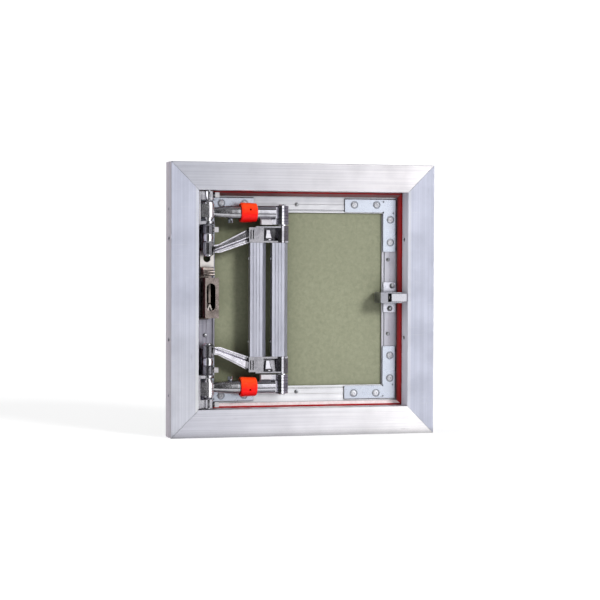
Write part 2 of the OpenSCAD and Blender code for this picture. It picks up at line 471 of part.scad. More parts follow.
// board screws through the rails, clear of the plates
screw_xz = [[-3, zc - 44.6], [-3, -(zc - 47)], [hx - 46, 44.4], [hx - 46, -39.3], [-(hx - 43), -39.3]];
module for_board_screws() for (p = screw_xz) translate([p[0], 0, zc + p[1]]) children();
bk_z = [57.5, 76];                    // screws of a door hinge bracket, from the middle
strike_z = [-15, 21.4];             // screws of the striker, from the middle
catch_z = [2 - 12.7, 2 + 12.9];     // screws of the catch, from the middle
strike_x = ax + 1.4;
strike_pts = [for (z = strike_z) [strike_x, z], [ax + 6.3, 50.7]];  // and of its plate
module plate_slot(y0, y1) { for (z = [44.9, 47.6]) cyl_y(3.9, y0, y1, ax + 1.65, zc + z, $fn = 40); box3([ax - 2.25, y0, zc + 44.9], [ax + 5.55, y1, zc + 47.6]); }
catch_sx = [hx - 44.4, hx - 41.6];
bks_x = ax + 4.3;                   // door bracket screws
module door_drill() {
  for_rivets() cyl_y(1.62, dd - 1, board_y0 + 1, 0, 0, $fn = 28);
  for_board_screws() cyl_y(1.22, dd - 1, board_y0 + 9, 0, 0, $fn = 24);
  for (s = [-1, 1]) for (z = bk_z) cyl_y(1.62, dd - 1, board_y0 + 9, bks_x, zc + s * z, $fn = 28);
  for (p = strike_pts) cyl_y(1.42, dd - 1, board_y0 + 9, p[0], zc + p[1], $fn = 28);
  plate_slot(dd - 1, board_y0 + 4);
  for (i = [0, 1]) cyl_y(1.42, dd - 1, board_y0 + 9, catch_sx[i], zc + catch_z[i], $fn = 28);
}
module door_hrail() translate([0, 0, zc - door_hz]) door_rail(2 * door_hx);
module door_vrail() translate([-door_hx, 0, zc]) rotate([0, 90, 0]) door_rail(2 * door_hz);
module door_rail_bottom() { color(alu) place() difference() { door_hrail(); door_drill(); } }
module door_rail_top() { color(alu) place() difference() { lower() door_hrail(); door_drill(); } }
module door_rail_left() { color(alu) place() difference() { door_vrail(); door_drill(); } }
module door_rail_right() { color(alu) place() difference() { mirror([1, 0, 0]) door_vrail(); door_drill(); } }
module door_board() { color([0.60, 0.63, 0.50]) place() difference() {
  box3([-door_hx + door_wall + 0.1, board_y0 + 0.03, zc - door_hz + door_wall + 0.1], [door_hx - door_wall - 0.1, door_front, zc + door_hz - door_wall - 0.1]);
  door_drill();
  for_rivets() cyl_y(3.2, board_y0 - 1, board_y0 + 2.6, 0, 0, $fn = 28);
} }
// Corner plate with bevelled outer edges and relief notches.
module corner_plate() difference() {
  translate([0, dd, 0]) rotate([90, 0, 0]) linear_extrude(height = plate_t) difference() {
    polygon([[hx - 97, zc + zc - 37.4], [hx - 97.6, zc + zc - 38], [hx - 97.6, zc + zc - 52.0], [hx - 97, zc + zc - 52.6], [hx - 52.6, zc + zc - 52.6],
      [hx - 52.6, zc + zc - 96.2], [hx - 52, zc + zc - 96.8], [hx - 37.4, zc + zc - 96.8], [hx - 36.8, zc + zc - 96.2], [hx - 36.8, zc + zc - 38.2], [hx - 37.8, zc + zc - 37.4]]);
    translate([hx - 52.6, zc + zc - 52.6]) circle(r = 0.9, $fn = 24);
    translate([hx - 52.2, zc + zc - 40.6]) circle(r = 0.8, $fn = 24);
    translate([hx - 40.6, zc + zc - 53.2]) circle(r = 0.8, $fn = 24);
  }
  translate([hx - 36.8, dd - plate_t, zc]) rotate([0, 0, 45]) cube([1.6, 1.6, 2 * zc + 10], center = true);
  translate([hx, dd - plate_t, zc + zc - 37.4]) rotate([45, 0, 0]) cube([2 * hx, 1.2, 1.2], center = true);
  for (p = rivets) {
    cyl_y(1.62, 10, 40, hx + p[0], zc + zc + p[1], $fn = 28);
    cyl_y(4.4, dd - 3, dd - 0.7, hx + p[0], zc + zc + p[1], $fn = 40);
  }
}
module corner_brackets() { color(zinc) place() both() for (s = [0, 1]) difference() {
  mirror([s, 0, 0]) corner_plate();
  for (z = bk_z) cyl_y(1.65, dd - 4, dd + 1, bks_x, zc + z, $fn = 28);
} }
// Blind rivet: domed head, shank and pulled tail.
module corner_rivets() { color("whitesmoke") place() for_rivets() union() {
  translate([0, dd - 0.72, 0]) rotate([90, 0, 0]) rotate_extrude($fn = 40) polygon([[0, 0], [3.3, 0], [3.3, 0.5], [2.9, 1.1], [2.1, 1.5], [1.35, 1.6], [1.2, 1.1], [0, 1.1]]);
  cyl_y(1.6, dd - 0.8, board_y0 + 0.1, 0, 0, $fn = 28);
  cyl_y(2.6, board_y0 + 0.02, board_y0 + 1.6, 0, 0, 1.9, $fn = 28);
} }
module pan_screw(r, y, len, hr) difference() {
  union() {
    cyl_y(r, y - 0.1, y + len, 0, 0, $fn = 24);
    translate([0, y - 0.02, 0]) rotate([90, 0, 0]) rotate_extrude($fn = 32) polygon([[0, 0], [hr, 0], [hr, 0.5], [hr * 0.8, 1.1], [hr * 0.4, 1.4], [0, 1.5]]);
  }
  for (q = [0, 90]) translate([0, y - 1.5, 0]) rotate([0, q, 0]) cube([hr * 1.1, 1.4, 0.5], center = true);
}
module board_screws() { color("gray") place() for_board_screws() pan_screw(1.2, dd, 9, 2.1); }

// Door hinge bracket: foot on the left door rail and one clamped barrel, from which the pin hangs.
module door_bracket() difference() {
  union() {
    box3([ax - 5.6, dd - 4.4, zc + 54.2], [ax + 7.8, dd - plate_t - 0.02, zc + 82]);
    box3([ax - 3.6, ay + 7, zc + 62], [ax + 0.4, dd - 4.3, zc + 81.9]);
    fluted(5.6, zc + 71.6, zc + 81.9, ax, ay);
    box3([ax - 3.6, ay + 2, zc + 71.6], [ax + 0.4, dd - 4.3, zc + 81.9]);
  }
  cyl_z(pr + 0.02, zc + 60, zc + 84, ax, ay);
  cyl_x(1.7, ax, ax + 9, ay - 2, zc + 76.5, $fn = 24);
  for (z = bk_z) cyl_y(1.7, dd - 6, dd + 1, bks_x, zc + z, $fn = 28);
  // relief over the rivet head of the corner plate
  cyl_y(4.3, dd - plate_t - 1.6, dd, -(hx - 44.1), zc + zc - 86.3, $fn = 40);
}
module door_bracket_upper() { color(chrome) place() door_bracket(); }
module door_bracket_lower() { color(chrome) place() lower() door_bracket(); }
module door_bracket_screws() { color("silver") place() for (s = [-1, 1]) for (z = bk_z)
  translate([bks_x, 0, zc + s * z]) pan_screw(1.6, dd - 4.4, 12, 2.7); }
module door_pivot_pins() { color(chrome) place() both() union() {
  cyl_z(pr, zc + 48, zc + 81.8, ax, ay);
  cyl_z(pr + 0.7, zc + 47.2, zc + 48.1, ax, ay, pr + 1.5);
  cyl_z(pr + 1.5, zc + 48, zc + 48.8, ax, ay);
} }
module door_pin_clamps() { color(zinc) place() both() clamp_screw(zc + 76.5, ax + 5.8); }
module pivot_spacers() { color("darkgray") place() both() difference() {
  union() { cyl_z(5.2, zc + 64, zc + 71.3, ax, ay); cyl_z(5.7, zc + 66, zc + 69.3, ax, ay); }
  cyl_z(pr + 0.03, zc + 60, zc + 75, ax, ay);
} }

// Snap catch: folded channel standing on the right door rail.
kx0 = hx - 62.2; kx1 = hx - 36.8;       // housing length
kz0 = zc + 2 - catch_w / 2; kz1 = zc + 2 + catch_w / 2;
module catch_housing() { color(zinc) place() difference() {
  union() {
    box3([hx - 52, dd - plate_t, zc + 2 - 17], [hx - 37.2, dd - 0.02, zc + 2 + 17]);
    for (z = [kz0, kz1 - 1.3]) box3([kx0, 1.2, z], [kx1, dd - 1, z + 1.3]);
    box3([kx0, 1.2, kz0], [kx0 + 1.3, dd - 1, kz1]);
    box3([kx0, 1.2, kz0], [kx0 + 8.6, 2.6, kz1]);
    box3([kx0, 10.6, kz0], [kx1, 12, kz1]);
  }
  for (i = [0, 1]) cyl_y(1.5, dd - 4, dd + 1, catch_sx[i], zc + catch_z[i], $fn = 28);
} }
tip_x = open_x - 0.35;              // rounded end of the bolt, just clear of the wall
module catch_bolt() { color("whitesmoke") place() difference() {
  union() {
    box3([kx0 + 13, 1.4, zc + 2 - bolt_w / 2], [tip_x - 3, 10.2, zc + 2 + bolt_w / 2]);
    translate([tip_x - 3, 0, zc + 2 - bolt_w / 2]) linear_extrude(height = bolt_w)
      polygon([[-0.1, 1.4], [2.5, 1.4], [3, 1.9], [3, 6.2], [0, 10.2], [-0.1, 10.2]]);
  }
  cyl_x(3.9, kx0 + 12, kx0 + 18, 5.9, zc + 2, $fn = 32);
} }
module catch_spring() { color("gainsboro") place() coil(3.2, 0.45, 16.2, 6, kx0 + 1.4, 6.2, zc + 2); }
module catch_screws() { color("silver") place() for (i = [0, 1])
  translate([catch_sx[i], 0, zc + catch_z[i]]) pan_screw(1.4, dd - plate_t, 10, 3.0); }

// Striker: a strip on the left door rail with a blade that stands into the latch.
module striker_plate() { color(zinc) place() difference() {
  box3([ax - 6.1, dd - 1.6, zc + 35.8], [ax + 9.4, dd - 0.02, zc + 53.2]);
  cyl_y(1.5, dd - 3, dd + 1, strike_pts[2][0], zc + strike_pts[2][1], $fn = 28);
  plate_slot(dd - 3, dd + 1);
} }
module latch_striker() { color(nickel) place() difference() {
  union() {
    box3([ax - 5.3, dd - 1.6, zc - 21], [ax + 6, dd - 0.02, zc + 35.7]);
    // stepped neck above the latch
    box3([ax - 4.4, dd - 12.2, zc + 26], [ax + 6.2, dd - 1.5, zc + 35.2]);
    box3([ax - 5.2, dd - 13.8, zc + 32.7], [ax + 6.8, dd - 1.5, zc + 34.8]);
    for (z = [30.7, 27.5]) {
      cyl_x(1.1, ax - 5.4, ax + 7.6, dd - 13.4, zc + z, $fn = 28);
      box3([ax - 4.4, dd - 13.4, zc + z - 0.9], [ax + 6.6, dd - 2, zc + z + 0.9]);
    }
    box3([lsx - 1.1, 8.2, zc - 3.4], [lsx + 1.1, dd - 1, zc + 17]);
  }
  for (z = strike_z) cyl_y(1.5, dd - 3, dd + 1, strike_x, zc + z, $fn = 28);
} }
module striker_screws() { color("silver") place() for (p = strike_pts)
  translate([p[0], 0, zc + p[1]]) pan_screw(1.4, dd - 1.6, 8, 2.6); }

frame_rail_bottom();
frame_rail_top();
frame_rail_left();
frame_rail_right();
frame_corner_keys();
door_seal();
frame_bracket_upper();
frame_bracket_lower();
frame_bracket_screws();
frame_pivot_pins();
frame_pin_clamps();
latch_body();
latch_screws();
latch_jaw();
latch_pivot_pin();
latch_spring();
arm_root_upper();
arm_tip_upper();
lock_balls_upper();
collar_ring_upper();
collar_spring_upper();
stop_pad_upper();
arm_stud_upper();
release_collar_upper();
arm_root_lower();
arm_tip_lower();
lock_balls_lower();
collar_ring_lower();
collar_spring_lower();
stop_pad_lower();
arm_stud_lower();
release_collar_lower();
bow_casting_upper();
bow_casting_lower();
bow_tube_outer();
bow_tube_inner();
tube_screws();
elbow_pins();
elbow_washers();
door_rail_bottom();
door_rail_top();
door_rail_left();
door_rail_right();
door_board();
corner_brackets();
corner_rivets();
board_screws();
door_bracket_upper();
door_bracket_lower();
door_bracket_screws();
door_pivot_pins();
door_pin_clamps();
pivot_spacers();
catch_housing();
catch_bolt();
catch_spring();
catch_screws();
latch_striker();
striker_plate();
striker_screws();
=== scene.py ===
import bpy, bmesh, math, random
from mathutils import Matrix, Vector


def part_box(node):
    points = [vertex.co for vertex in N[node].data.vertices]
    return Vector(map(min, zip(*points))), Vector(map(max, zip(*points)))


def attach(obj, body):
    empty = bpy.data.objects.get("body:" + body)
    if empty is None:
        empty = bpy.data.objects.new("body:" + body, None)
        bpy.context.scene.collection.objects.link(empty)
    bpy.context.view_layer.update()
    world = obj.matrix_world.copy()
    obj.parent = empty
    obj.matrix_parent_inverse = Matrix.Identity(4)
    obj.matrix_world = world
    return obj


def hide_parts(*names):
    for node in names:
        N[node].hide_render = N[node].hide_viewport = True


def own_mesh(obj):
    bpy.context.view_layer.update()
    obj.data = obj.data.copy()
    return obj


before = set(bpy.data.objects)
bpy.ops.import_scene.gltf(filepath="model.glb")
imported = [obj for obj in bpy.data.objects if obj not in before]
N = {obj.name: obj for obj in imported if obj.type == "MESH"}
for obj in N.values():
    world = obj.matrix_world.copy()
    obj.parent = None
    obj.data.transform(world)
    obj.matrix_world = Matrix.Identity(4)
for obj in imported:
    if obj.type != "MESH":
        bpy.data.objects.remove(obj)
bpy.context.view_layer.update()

SC = bpy.context.scene
MM = 0.001
FD = 28.4                       # depth of the frame, mm
random.seed(7)


def P(x, depth, z):
    """A point given as x, depth from the rear face, z, all in mm, as a point of the shared frame."""
    return Vector((x * MM, (depth - FD / 2) * MM, z * MM))


# ---------------------------------------------------------------- camera
AZ, EL, ROLL, DIST = math.radians(-15.282), math.radians(1.3635), math.radians(0.207), 1.97424
TARGET = Vector((-0.005738, -0.0142, 0.149746))
back = Vector((math.sin(AZ) * math.cos(EL), -math.cos(AZ) * math.cos(EL), math.sin(EL)))
right = (-back).cross(Vector((0, 0, 1))).normalized()
up = right.cross(-back)
cr = math.cos(ROLL) * right + math.sin(ROLL) * up
cu = -math.sin(ROLL) * right + math.cos(ROLL) * up
cam_data = bpy.data.cameras.new("photo_camera")
cam_data.sensor_width = 36.0
cam_data.lens = 107.72
cam_data.clip_start, cam_data.clip_end = 0.05, 200.0
cam = bpy.data.objects.new("photo_camera", cam_data)
SC.collection.objects.link(cam)
cam.matrix_world = Matrix(((cr.x, cu.x, back.x, 0), (cr.y, cu.y, back.y, 0), (cr.z, cu.z, back.z, 0), (0, 0, 0, 1)))
cam.location = TARGET + back * DIST
SC.camera = cam


# ---------------------------------------------------------------- node helpers
class Mat:
    """A small builder for procedural materials, in the object's own coordinates (metres)."""

    def __init__(self, name):
        self.m = bpy.data.materials.new(name)
        self.m.use_nodes = True
        self.t = self.m.node_tree
        self.bsdf = next(n for n in self.t.nodes if n.type == "BSDF_PRINCIPLED")
        self.co = self.new("ShaderNodeTexCoord").outputs["Object"]

    def new(self, kind, **props):
        n = self.t.nodes.new(kind)
        for k, v in props.items():
            setattr(n, k, v)
        return n

    def link(self, a, b):
        self.t.links.new(a, b)
        return self

    def set(self, **values):
        for k, v in values.items():
            self.bsdf.inputs[k.replace("_", " ")].default_value = v
        return self

    def scaled(self, s, rot=(0, 0, 0), loc=(0, 0, 0)):
        m = self.new("ShaderNodeMapping")
        m.inputs["Scale"].default_value = s
        m.inputs["Rotation"].default_value = rot
        m.inputs["Location"].default_value = loc
        self.link(self.co, m.inputs["Vector"])
        return m.outputs["Vector"]

    def noise(self, scale=(1, 1, 1), detail=4.0, rough=0.55, rot=(0, 0, 0), loc=(0, 0, 0), distortion=0.0):
        n = self.new("ShaderNodeTexNoise")
        n.inputs["Scale"].default_value = 1.0
        n.inputs["Detail"].default_value = detail
        n.inputs["Roughness"].default_value = rough
        n.inputs["Distortion"].default_value = distortion
        self.link(self.scaled(scale, rot, loc), n.inputs["Vector"])
        return n.outputs["Fac"]

    def ramp(self, fac, stops, mode="LINEAR"):
        r = self.new("ShaderNodeValToRGB")
        r.color_ramp.interpolation = mode
        e = r.color_ramp.elements
        while len(e) > 1:
            e.remove(e[-1])
        for i, (pos, col) in enumerate(stops):
            c = (col, col, col, 1) if isinstance(col, (int, float)) else (*col, 1)
            if i == 0:
                e[0].position, e[0].color = pos, c
            else:
                k = e.new(pos)
                k.color = c
        self.link(fac, r.inputs["Fac"])
        return r.outputs["Color"]

    def remap(self, fac, lo, hi, to_lo, to_hi):
        r = self.new("ShaderNodeMapRange")
        for k, v in zip(("From Min", "From Max", "To Min", "To Max"), (lo, hi, to_lo, to_hi)):
            r.inputs[k].default_value = v
        self.link(fac, r.inputs["Value"])
        return r.outputs["Result"]

    def math(self, op, a, b=None, clamp=False):
        n = self.new("ShaderNodeMath", operation=op, use_clamp=clamp)
        for i, v in enumerate((a, b)):
            if v is None:
                continue
            if isinstance(v, (int, float)):
                n.inputs[i].default_value = v
            else:
                self.link(v, n.inputs[i])
        return n.outputs["Value"]

    def mix(self, fac, a, b, blend="MIX"):
        n = self.new("ShaderNodeMix", data_type="RGBA", blend_type=blend)
        n.clamp_factor = True
        for key, v in (("Factor", fac), ("A", a), ("B", b)):
            sock = next(s for s in n.inputs if s.name == key and s.enabled)
            if isinstance(v, (int, float)):
                sock.default_value = v
            elif isinstance(v, tuple):
                sock.default_value = (*v, 1)
            else:
                self.link(v, sock)
        return next(s for s in n.outputs if s.enabled)

    def color(self, sock):
        return self.link(sock, self.bsdf.inputs["Base Color"])

    def rough(self, sock):
        return self.link(sock, self.bsdf.inputs["Roughness"])

    def bump(self, height, distance, strength=1.0, chain=None):
        b = self.new("ShaderNodeBump")
        b.inputs["Strength"].default_value = strength
        b.inputs["Distance"].default_value = distance
        self.link(height, b.inputs["Height"])
        if chain is not None:
            self.link(chain, b.inputs["Normal"])
        self.link(b.outputs["Normal"], self.bsdf.inputs["Normal"])
        return b.outputs["Normal"]

    def tangent(self, axis):
        t = self.new("ShaderNodeTangent", direction_type="RADIAL", axis=axis)
        self.link(t.outputs["Tangent"], self.bsdf.inputs["Tangent"])
        return self

    def scratches(self, n, density, seed=0.0):
        """Thin hair scratches in a few directions, 1 on the scratch."""
        out = None
        for i in range(n):
            a = (0.35 + 2.1 * i + seed, 0.8 * i + seed, 1.1 * i + 0.4 + seed)
            f = self.noise((38, 2000, 2000), 1.0, 0.5, rot=a, loc=(3.1 * i, 1.7, seed))
            m = self.remap(f, 0.745 - density, 0.785 - density, 0, 1)
            out = m if out is None else self.math("MAXIMUM", out, m)
        return out

    def cavity(self, distance, lo=0.35, hi=0.9, samples=6):
        """Painted shade mask: 1 deep in a recess, where light fails to reach, 0 in the open."""
        n = self.new("ShaderNodeAmbientOcclusion", samples=samples)
        n.inputs["Distance"].default_value = distance
        return self.remap(n.outputs["AO"], lo, hi, 1.0, 0.0)

    def axes(self):
        n = self.new("ShaderNodeSeparateXYZ")
        self.link(self.co, n.inputs["Vector"])
        return n.outputs["X"], n.outputs["Y"], n.outputs["Z"]

    def normal(self):
        g = self.new("ShaderNodeNewGeometry")
        n = self.new("ShaderNodeSeparateXYZ")
        self.link(g.outputs["Normal"], n.inputs["Vector"])
        return n.outputs["X"], n.outputs["Y"], n.outputs["Z"]


def zone(m, col, axis, lo, hi, factor, soft=0.0004):
    """Scales a colour between two positions along an axis: painted shade where the factor is below 1, a painted
    highlight where it is above.
    """
    v = m.axes()["XYZ".index(axis)]
    k = m.math("MULTIPLY", m.remap(v, lo - soft, lo + soft, 0, 1), m.remap(v, hi - soft, hi + soft, 1, 0))
    return m.mix(k, col, m.mix(1.0, col, (factor, factor, factor), blend="MULTIPLY"))


def along(axis, fine, coarse):
    """Noise scale stretched along one axis: fine lines that run along it."""
    return tuple(coarse if a == axis else fine for a in "XYZ")


def extruded(name, axis, base, dark, rough=(0.30, 0.46), aniso=0.6, lines=2600, bump=0.000012, smudge=0.08, rail=False, level=False, recess_shade=0.75, reach=0.010, skin=None):
    """Mill-finish aluminium extrusion: die lines along the profile, cloudy oxide, smudges, a few hair scratches."""
    m = Mat(name)
    fine = m.noise(along(axis, lines, 6), 3, 0.6)
    broad = m.noise(along(axis, 420, 2.2), 3, 0.6, loc=(5, 2, 8))
    cloud = m.noise((38, 38, 38), 5, 0.6, loc=(1, 7, 3))
    lines_v = m.math("ADD", m.math("MULTIPLY", fine, 0.45), m.math("MULTIPLY", broad, 0.55))
    col = m.ramp(lines_v, [(0.32, dark), (0.46, tuple((a + b) / 2 for a, b in zip(dark, base))), (0.58, base), (0.74, tuple(min(1, c * 1.09) for c in base))])
    col = m.mix(m.remap(cloud, 0.42, 0.72, 0, smudge * 4), col, tuple(c * 0.86 for c in dark))
    marks = m.remap(m.noise(along(axis, 170, 24), 4, 0.6, loc=(2, 9, 4)), 0.66, 0.74, 0, 0.35)
    col = m.mix(marks, col, tuple(c * 0.72 for c in dark))
    scr = m.scratches(3, 0.0, 0.3 if axis == "Z" else 1.1)
    col = m.mix(m.math("MULTIPLY", scr, 0.45), col, (0.95, 0.95, 0.96))
    x, y, z = m.axes()
    if rail and axis == "X":
        # single die lines, about a millimetre apart
        line = m.noise(along(axis, 900, 7), 3, 0.6, loc=(8, 3, 1))
        col = m.mix(m.remap(line, 0.50, 0.34, 0, 0.42), col, tuple(c * 0.93 for c in dark))
        col = m.mix(m.remap(line, 0.50, 0.66, 0, 0.42), col, (1.0, 1.0, 1.0))
    if level:
        # painted shade: the door's level rails are painted darker towards the top, so the upper one is darker than
        # the lower
        col = m.mix(1.0, col, m.ramp(m.remap(z, 0.06, 0.24, 0, 1), [(0.2, (1.0, 1.0, 1.0)), (0.8, (0.80, 0.80, 0.815))]), blend="MULTIPLY")
    if rail:
        # painted highlight: the edge strip along the opening is painted lighter; the level rails are cooler at one
        # end
        off = m.math("ABSOLUTE", x) if axis == "Z" else m.math("ABSOLUTE", m.math("SUBTRACT", z, 0.150))
        col = m.mix(m.remap(off, 0.1224, 0.1232, 0.30, 0.0), col, (1.0, 1.0, 1.0))
        if axis == "X":
            tint = m.ramp(m.remap(x, -0.13, 0.13, 0, 1), [(0.0, (0.945, 0.945, 1.03)), (0.5, (0.96, 0.94, 0.975)), (1.0, (1.0, 0.975, 0.975))])
            col = m.mix(1.0, col, tint, blend="MULTIPLY")
            # painted shade: the upper level rail is painted darker, most in its middle
            upper_rail_shade = m.ramp(m.remap(x, -0.13, 0.13, 0, 1), [(0.0, (0.87, 0.88, 0.88)), (0.5, (0.82, 0.82, 0.82)), (1.0, (0.90, 0.89, 0.90))])
            col = m.mix(m.remap(z, 0.10, 0.20, 0, 1), col, m.mix(1.0, col, upper_rail_shade, blend="MULTIPLY"))
        else:
            # the foot of the left rail is paler and less blue
            foot = m.math("MULTIPLY", m.remap(z, 0.16, 0.05, 0, 1), m.remap(x, 0.0, -0.1, 0, 1))
            col = m.mix(foot, col, m.mix(1.0, col, (1.17, 1.15, 1.08), blend="MULTIPLY"))
    # painted shade: recesses are darkened towards near black by how enclosed they are
    col = m.mix(m.math("MULTIPLY", m.cavity(reach), recess_shade), col, tuple(c * 0.12 for c in dark))
    r = m.remap(m.math("ADD", m.math("MULTIPLY", fine, 0.4), m.math("MULTIPLY", cloud, 0.6)), 0.3, 0.7, rough[0], rough[1])
    m.set(Metallic=1.0, Anisotropic=aniso)
    if rail and axis == "Z":
        # sawn and handled side faces are matt; painted light: the inner side faces are painted far lighter than the
        # outer side face of the same aluminium, which is painted darker still along its rear edge
        side = m.remap(m.math("ABSOLUTE", m.normal()[0]), 0.6, 0.8, 0, 1)
        inner = m.mix(m.remap(broad, 0.35, 0.65, 0, 1), (0.73, 0.72, 0.84), (0.83, 0.82, 0.93))
        outer = m.mix(m.remap(broad, 0.35, 0.65, 0, 1), (0.42, 0.385, 0.43), (0.50, 0.465, 0.51))
        outer = m.mix(m.remap(y, -0.0085, -0.0105, 0, 0.45), outer, (0.20, 0.185, 0.205))
        col = m.mix(side, col, m.mix(m.remap(x, -0.13, -0.14, 0, 1), inner, outer))
        m.link(m.remap(side, 0, 1, 1.0, 0.25), m.bsdf.inputs["Metallic"])
        r = m.math("ADD", r, m.math("MULTIPLY", side, 0.15))
    if skin is not None:
        # the outermost faces are matt and handled too
        across, n = (x, m.normal()[0]) if axis == "Z" else (m.math("SUBTRACT", z, 0.150), m.normal()[2])
        outside = m.math("MULTIPLY", m.remap(m.math("ABSOLUTE", across), skin - 0.0004, skin, 0, 1), m.remap(m.math("ABSOLUTE", n), 0.6, 0.8, 0, 1))
        col = m.mix(outside, col, m.mix(m.remap(broad, 0.35, 0.65, 0, 1), (0.50, 0.48, 0.52), (0.60, 0.58, 0.62)))
        m.link(m.remap(outside, 0, 1, 1.0, 0.3), m.bsdf.inputs["Metallic"])
        r = m.math("ADD", r, m.math("MULTIPLY", outside, 0.12))
    m.color(col)
    m.rough(r)
    m.tangent(axis)
    h = m.math("ADD", m.math("MULTIPLY", lines_v, 1.0), m.math("MULTIPLY", scr, -0.5))
    m.bump(h, bump)
    return m.m


def plated(name, base, dark, rough=(0.06, 0.16), cast=0.0, cloud_scale=70, bump=0.00001, scr=0.25, spots=0.0, recess_shade=0.8, reach=0.007, metallic=1.0, deep=None, flanks=None, zones=(), smooth_from=None):
    """Plated metal: slight orange peel, stains, painted shade in the recesses, rubbed streaks and hair scratches.
    deep is the y from which the inside is painted near black as shade, flanks the z below which side faces are
    painted near black as shade."""
    m = Mat(name)
    peel = m.noise((900, 900, 900), 3, 0.55)
    cloud = m.noise((cloud_scale, cloud_scale, cloud_scale), 5, 0.62, loc=(4, 1, 2))
    grain = m.noise((2600, 2600, 2600), 2, 0.6, loc=(2, 6, 1))
    col = m.ramp(cloud, [(0.32, dark), (0.52, base), (0.75, tuple(min(1, c * 1.06) for c in base))])
    s = m.scratches(2, 0.0, 2.3)
    col = m.mix(m.math("MULTIPLY", s, scr), col, tuple(c * 0.75 for c in base))
    if spots:
        sp = m.remap(m.noise((420, 420, 420), 3, 0.7, loc=(9, 9, 2)), 0.60, 0.72, 0, spots)
        col = m.mix(sp, col, tuple(c * 0.45 for c in dark))
    # painted shade: recesses are darkened towards near black by how enclosed they are
    if recess_shade:
        col = m.mix(m.math("MULTIPLY", m.cavity(reach), recess_shade), col, tuple(c * 0.10 for c in dark))
    for z in zones:
        col = zone(m, col, *z)
    if deep is not None:
        # painted shade: the inside beyond deep is painted near black, all but the outside of the left wall
        wall = m.math("MULTIPLY", m.remap(m.normal()[0], -0.7, -0.5, 1, 0), m.remap(m.axes()[0], DPX - 0.0041, DPX - 0.0039, 1, 0))
        inside = m.math("MULTIPLY", m.remap(m.axes()[1], deep, deep + 0.002, 0, 0.93), m.math("SUBTRACT", 1.0, wall))
        col = m.mix(inside, col, (0.010, 0.008, 0.008))
    # painted shade: the low side faces are painted near black
    if flanks is not None:
        low = m.remap(m.axes()[2], flanks, flanks + 0.0005, 1, 0)
        side = m.remap(m.math("ABSOLUTE", m.normal()[0]), 0.5, 0.7, 0, 1)
        col = m.mix(m.math("MULTIPLY", m.math("MULTIPLY", low, side), 0.92), col, (0.012, 0.010, 0.009))
    m.color(col)
    r = m.remap(m.math("ADD", m.math("MULTIPLY", cloud, 0.6), m.math("MULTIPLY", grain, 0.4)), 0.34, 0.68, rough[0], rough[1])
    m.rough(r)
    m.set(Metallic=metallic)
    h = m.math("ADD", m.math("MULTIPLY", peel, 0.35 + cast), m.math("MULTIPLY", s, -0.4))
    if smooth_from is not None:
        h = m.math("MULTIPLY", h, m.remap(m.axes()[0], smooth_from, smooth_from + 0.001, 1.0, 0.12))
    m.bump(h, bump + cast * 0.00008)
    return m.m


# ---------------------------------------------------------------- materials
DPX = (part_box("door_pivot_pins")[0][0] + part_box("door_pivot_pins")[1][0]) / 2      # the door pivot line
BOX_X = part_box("bow_tube_outer")[0][0] - 0.0045                                    # where the castings widen over the tubes
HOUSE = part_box("catch_housing")
DOOR_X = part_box("door_rail_right")[1][0] - 0.001
DOOR_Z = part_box("door_rail_top")[1][2] - 0.150 - 0.001
M = {}
# painted light: the upright frame rails are a darker, bluer copy of the level rails' aluminium
M["frame_X"] = extruded("frame_aluminium_X", "X", (0.97, 0.97, 0.98), (0.80, 0.80, 0.82), rough=(0.32, 0.46), aniso=0.85, rail=True, skin=0.1490)
M["frame_Z"] = extruded("frame_aluminium_Z", "Z", (0.73, 0.75, 0.875), (0.60, 0.62, 0.735), rough=(0.38, 0.50), aniso=0.8, rail=True)
M["door_X"] = extruded("door_aluminium_X", "X", (0.985, 0.98, 1.0), (0.80, 0.80, 0.84), rough=(0.30, 0.44), aniso=0.8, lines=3200, level=True, recess_shade=0.6, reach=0.006, skin=DOOR_Z)
M["door_Z"] = extruded("door_aluminium_Z", "Z", (0.95, 0.94, 1.0), (0.80, 0.79, 0.89), rough=(0.38, 0.50), aniso=0.8, lines=3200, recess_shade=0.55, reach=0.005, skin=DOOR_X)
# painted shade: the left door rail is a much darker copy of the door aluminium
M["door_left_shaded"] = extruded("door_aluminium_left", "Z", (0.42, 0.41, 0.47), (0.28, 0.27, 0.32), rough=(0.36, 0.48), aniso=0.8, lines=3200, smudge=0.16, recess_shade=0.6, reach=0.006, skin=DOOR_X)
M["tube"] = extruded("tube_aluminium", "Z", (0.65, 0.655, 0.75), (0.50, 0.505, 0.585), rough=(0.34, 0.46), lines=3600, bump=0.00002, reach=0.005, recess_shade=0.45)
M["chrome"] = plated("polished_chrome", (0.82, 0.81, 0.85), (0.58, 0.57, 0.61), rough=(0.06, 0.14), scr=0.3, recess_shade=0.4, reach=0.005)
# painted shade: the arm root is painted darker from 6 mm past the door pivot line outwards
M["root"] = plated("root_chrome", (0.94, 0.93, 0.97), (0.68, 0.67, 0.71), rough=(0.18, 0.32), cast=0.60, scr=0.3, spots=0.15, recess_shade=0.20, reach=0.004,
                   zones=(("X", DPX + 0.006, 1.0, 0.60),), smooth_from=DPX + 0.007)
M["lug"] = plated("elbow_chrome", (0.58, 0.57, 0.62), (0.38, 0.37, 0.41), rough=(0.10, 0.20), cast=0.15, scr=0.3, spots=0.3, recess_shade=0.9, reach=0.0015)
M["cast"] = plated("cast_chrome", (0.60, 0.59, 0.63), (0.38, 0.37, 0.41), rough=(0.16, 0.30), cast=0.25, scr=0.2, spots=0.35, recess_shade=0.5, reach=0.004)
